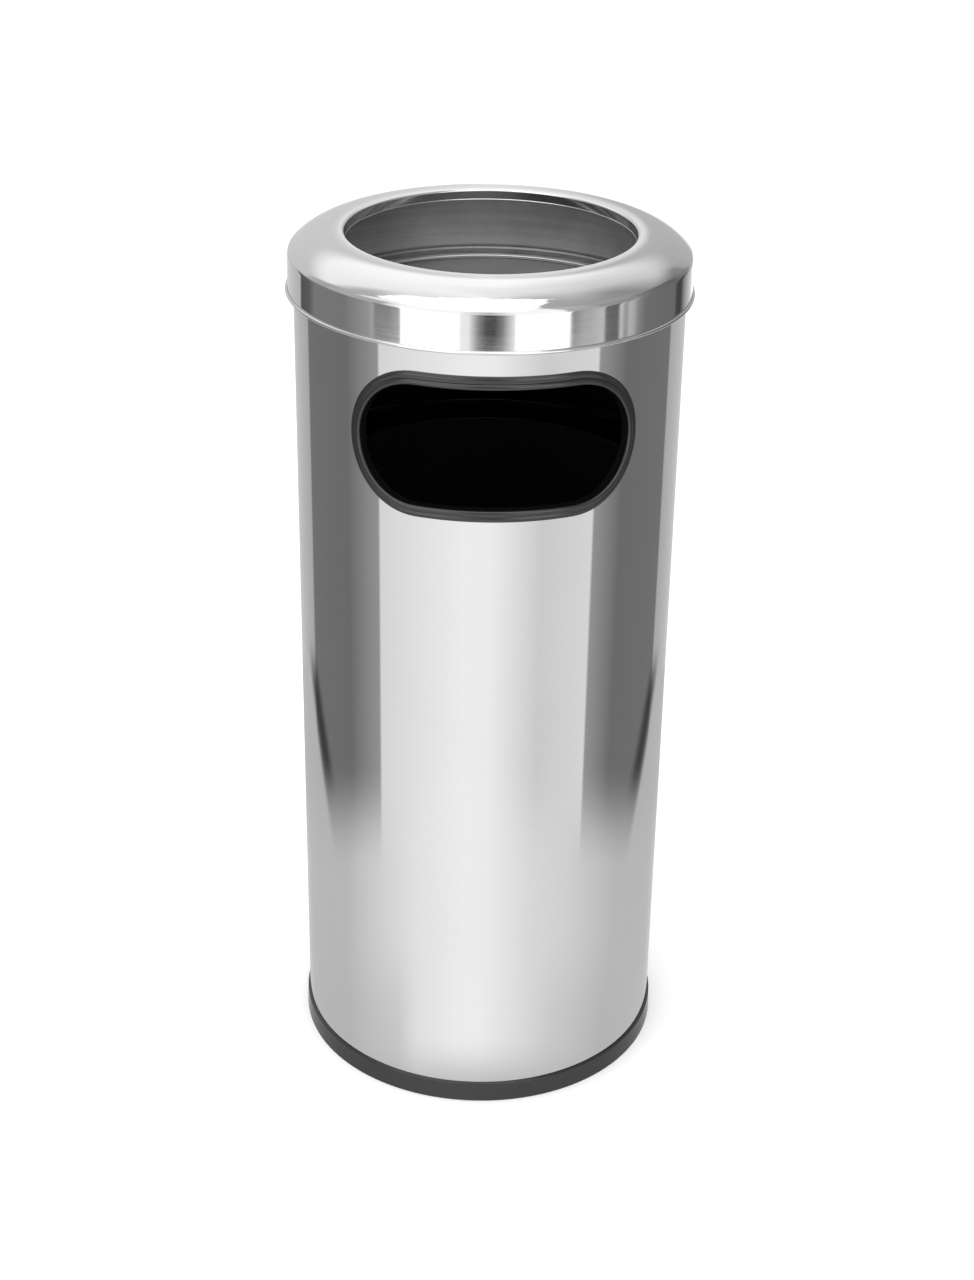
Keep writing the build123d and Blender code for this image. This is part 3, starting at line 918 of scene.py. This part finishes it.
def studio_world():
    """A soft white studio. Mirrors see its panels; the camera and matt surfaces see it plain."""
    world = bpy.data.worlds.new("studio")
    world.use_nodes = True
    world.cycles.sampling_method = "NONE"
    bpy.context.scene.world = world
    tree = world.node_tree
    nodes, links = tree.nodes, tree.links
    background = next(n for n in nodes if n.type == "BACKGROUND")
    coords = nodes.new("ShaderNodeTexCoord")
    turn = nodes.new("ShaderNodeVectorRotate")
    turn.rotation_type = "Z_AXIS"
    turn.inputs["Angle"].default_value = -math.radians(CAMERA_AZIMUTH)
    links.new(coords.outputs["Generated"], turn.inputs["Vector"])
    towards = separate(tree, turn.outputs[0])
    to_camera = maths(tree, "MULTIPLY", towards["Y"], -1.0)
    azimuth = maths(tree, "ARCTAN2", towards["X"], to_camera)
    position = maths(tree, "ADD", maths(tree, "DIVIDE", azimuth, FULL_TURN), 0.5)
    height = maths(tree, "DEGREES", maths(tree, "ARCSINE", towards["Z"]))
    low = floor_reflection(tree, azimuth, position, height)
    horizon = panel_ramp(tree, position, HORIZON_PANELS)
    dome = dome_reflection(tree, turn.outputs[0], position, height)
    low = mix(tree, step_between(tree, height, *FLOOR_TO_HORIZON), low, horizon)
    seen = mix(tree, step_between(tree, height, *HORIZON_TO_DOME), low, dome)
    path = nodes.new("ShaderNodeLightPath")
    plain = maths(tree, "MAXIMUM", path.outputs["Is Camera Ray"], path.outputs["Is Diffuse Ray"])
    links.new(mix(tree, plain, seen, 1.0), background.inputs["Color"])


def floor():
    """Plain pale floor that the camera sees and the polished steel doesn't."""
    r = FLOOR_REACH
    verts = [(-r, -r, 0), (r, -r, 0), (r, r, 0), (-r, r, 0)]
    plane = mesh_object("studio_floor", verts, [[0, 1, 2, 3]])
    material, tree, shader = new_material("floor_paper")
    shader.inputs["Roughness"].default_value = 1.0
    shader.inputs["Specular IOR Level"].default_value = 0.0
    shader.inputs["Emission Color"].default_value = (1, 1, 1, 1)
    shader.inputs["Emission Strength"].default_value = FLOOR_GLOW
    paper = noise(tree, object_vector(tree), 3.0, 2)
    tree.links.new(grey_from(tree, remap(tree, paper, 0.95, 0.96)), shader.inputs["Base Color"])
    plane.data.materials.append(material)
    plane.visible_glossy = False
    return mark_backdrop(plane)


def soft_light():
    """Large overhead softbox for the matt surfaces."""
    data = bpy.data.lights.new("softbox", "AREA")
    data.shape = "RECTANGLE"
    data.size, data.size_y = LAMP_SIZE, LAMP_SIZE
    data.energy = LAMP_POWER
    lamp = bpy.data.objects.new("softbox", data)
    lamp.location = LAMP_PLACE
    aim = Vector(LAMP_AIM) - lamp.location
    lamp.rotation_mode = "QUATERNION"
    lamp.rotation_quaternion = aim.to_track_quat("-Z", "Y")
    lamp.visible_glossy = False
    bpy.context.scene.collection.objects.link(lamp)


def camera():
    """Camera above and in front, a little to the left and slightly rolled."""
    data = bpy.data.cameras.new("camera")
    data.lens = CAMERA_LENS
    data.sensor_width = SENSOR
    data.clip_start = 0.01
    cam = bpy.data.objects.new("camera", data)
    bpy.context.scene.collection.objects.link(cam)
    turn = Matrix.Rotation(math.radians(CAMERA_AZIMUTH), 3, "Z")
    pitch, yaw, roll = (math.radians(v) for v in (CAMERA_PITCH, CAMERA_YAW, CAMERA_ROLL))
    level_reach = math.cos(pitch)
    ahead = Vector((math.sin(yaw) * level_reach, math.cos(yaw) * level_reach, -math.sin(pitch)))
    ahead = turn @ ahead
    level = ahead.cross(Vector((0, 0, 1))).normalized()
    upright = level.cross(ahead)
    right = level * math.cos(roll) + upright * math.sin(roll)
    up = upright * math.cos(roll) - level * math.sin(roll)
    place = turn @ Vector((0, -CAMERA_DISTANCE, CAMERA_HEIGHT))
    cam.matrix_world = Matrix(
        [
            (right.x, up.x, -ahead.x, place.x),
            (right.y, up.y, -ahead.y, place.y),
            (right.z, up.z, -ahead.z, place.z),
            (0, 0, 0, 1),
        ]
    )
    bpy.context.scene.camera = cam


# ---------------------------------------------------------------- assembly

def finish_piece(piece, node, body, slot, *materials):
    """Give a new piece its materials and body, and let it stand for its CAD node. The slot is not
    used.
    """
    for material in materials:
        piece.data.materials.append(material)
    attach(piece, body)
    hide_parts(node)


def dress(node, material):
    """Better material on a CAD node that stays."""
    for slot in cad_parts[node].material_slots:
        slot.material = material


bpy.context.scene.view_settings.view_transform = "Standard"
camera()
studio_world()
floor()
soft_light()

steel = polished_steel()
lid_metal = lid_steel()
pan_metal = brushed_pan()
ring_plastic = plastic("ring_plastic", 0.022, 0.13, 1500.0, scuff=0.02, relief=0.03)
trim_plastic = plastic("trim_plastic", 0.010, 0.20, 1900.0, scuff=0.003, relief=0.01, shine=0.85)
# The collar is the trim's black plastic, rough and unpolished, made darker and nearly without
# reflection: painted shade inside the opening.
collar_plastic_painted_shade = plastic("collar_plastic_painted_shade", 0.003, 0.85, 1500.0, scuff=0.002, relief=0.05, shine=0.05)
grip_plastic = plastic("grip_plastic", 0.02, 0.45, 1500.0, scuff=0.03)
enamel = black_enamel()
zinc = plated("zinc_plate", 0.50, 0.38)
wire_zinc = plated("zinc_wire", 0.56, 0.28)
screw_steel = plated("screw_steel", 0.50, 0.30)
rubber = pad_rubber()

finish_piece(body_shell(), "body_shell", "bin_body", "polished_steel", steel)
finish_piece(
    aperture_trim(), "aperture_trim", "bin_body", "trim_plastic", trim_plastic, collar_plastic_painted_shade
)
finish_piece(lid_ring(), "lid_ring", "lid", "polished_steel", lid_metal)
finish_piece(ash_pan(), "ash_pan", "ash_pan", "brushed_pan", pan_metal)

dress("base_ring", ring_plastic)
dress("trim_frame", trim_plastic)
dress("base_plate", zinc)
dress("base_screws", screw_steel)
dress("lid_pads", rubber)
dress("bail_handle", wire_zinc)
dress("handle_grip", grip_plastic)
dress("ear_rivets", screw_steel)
dress("bucket_rim_wire", zinc)
for part in ("bucket_wall", "bucket_floor", "ear_left", "ear_right"):
    dress(part, enamel)
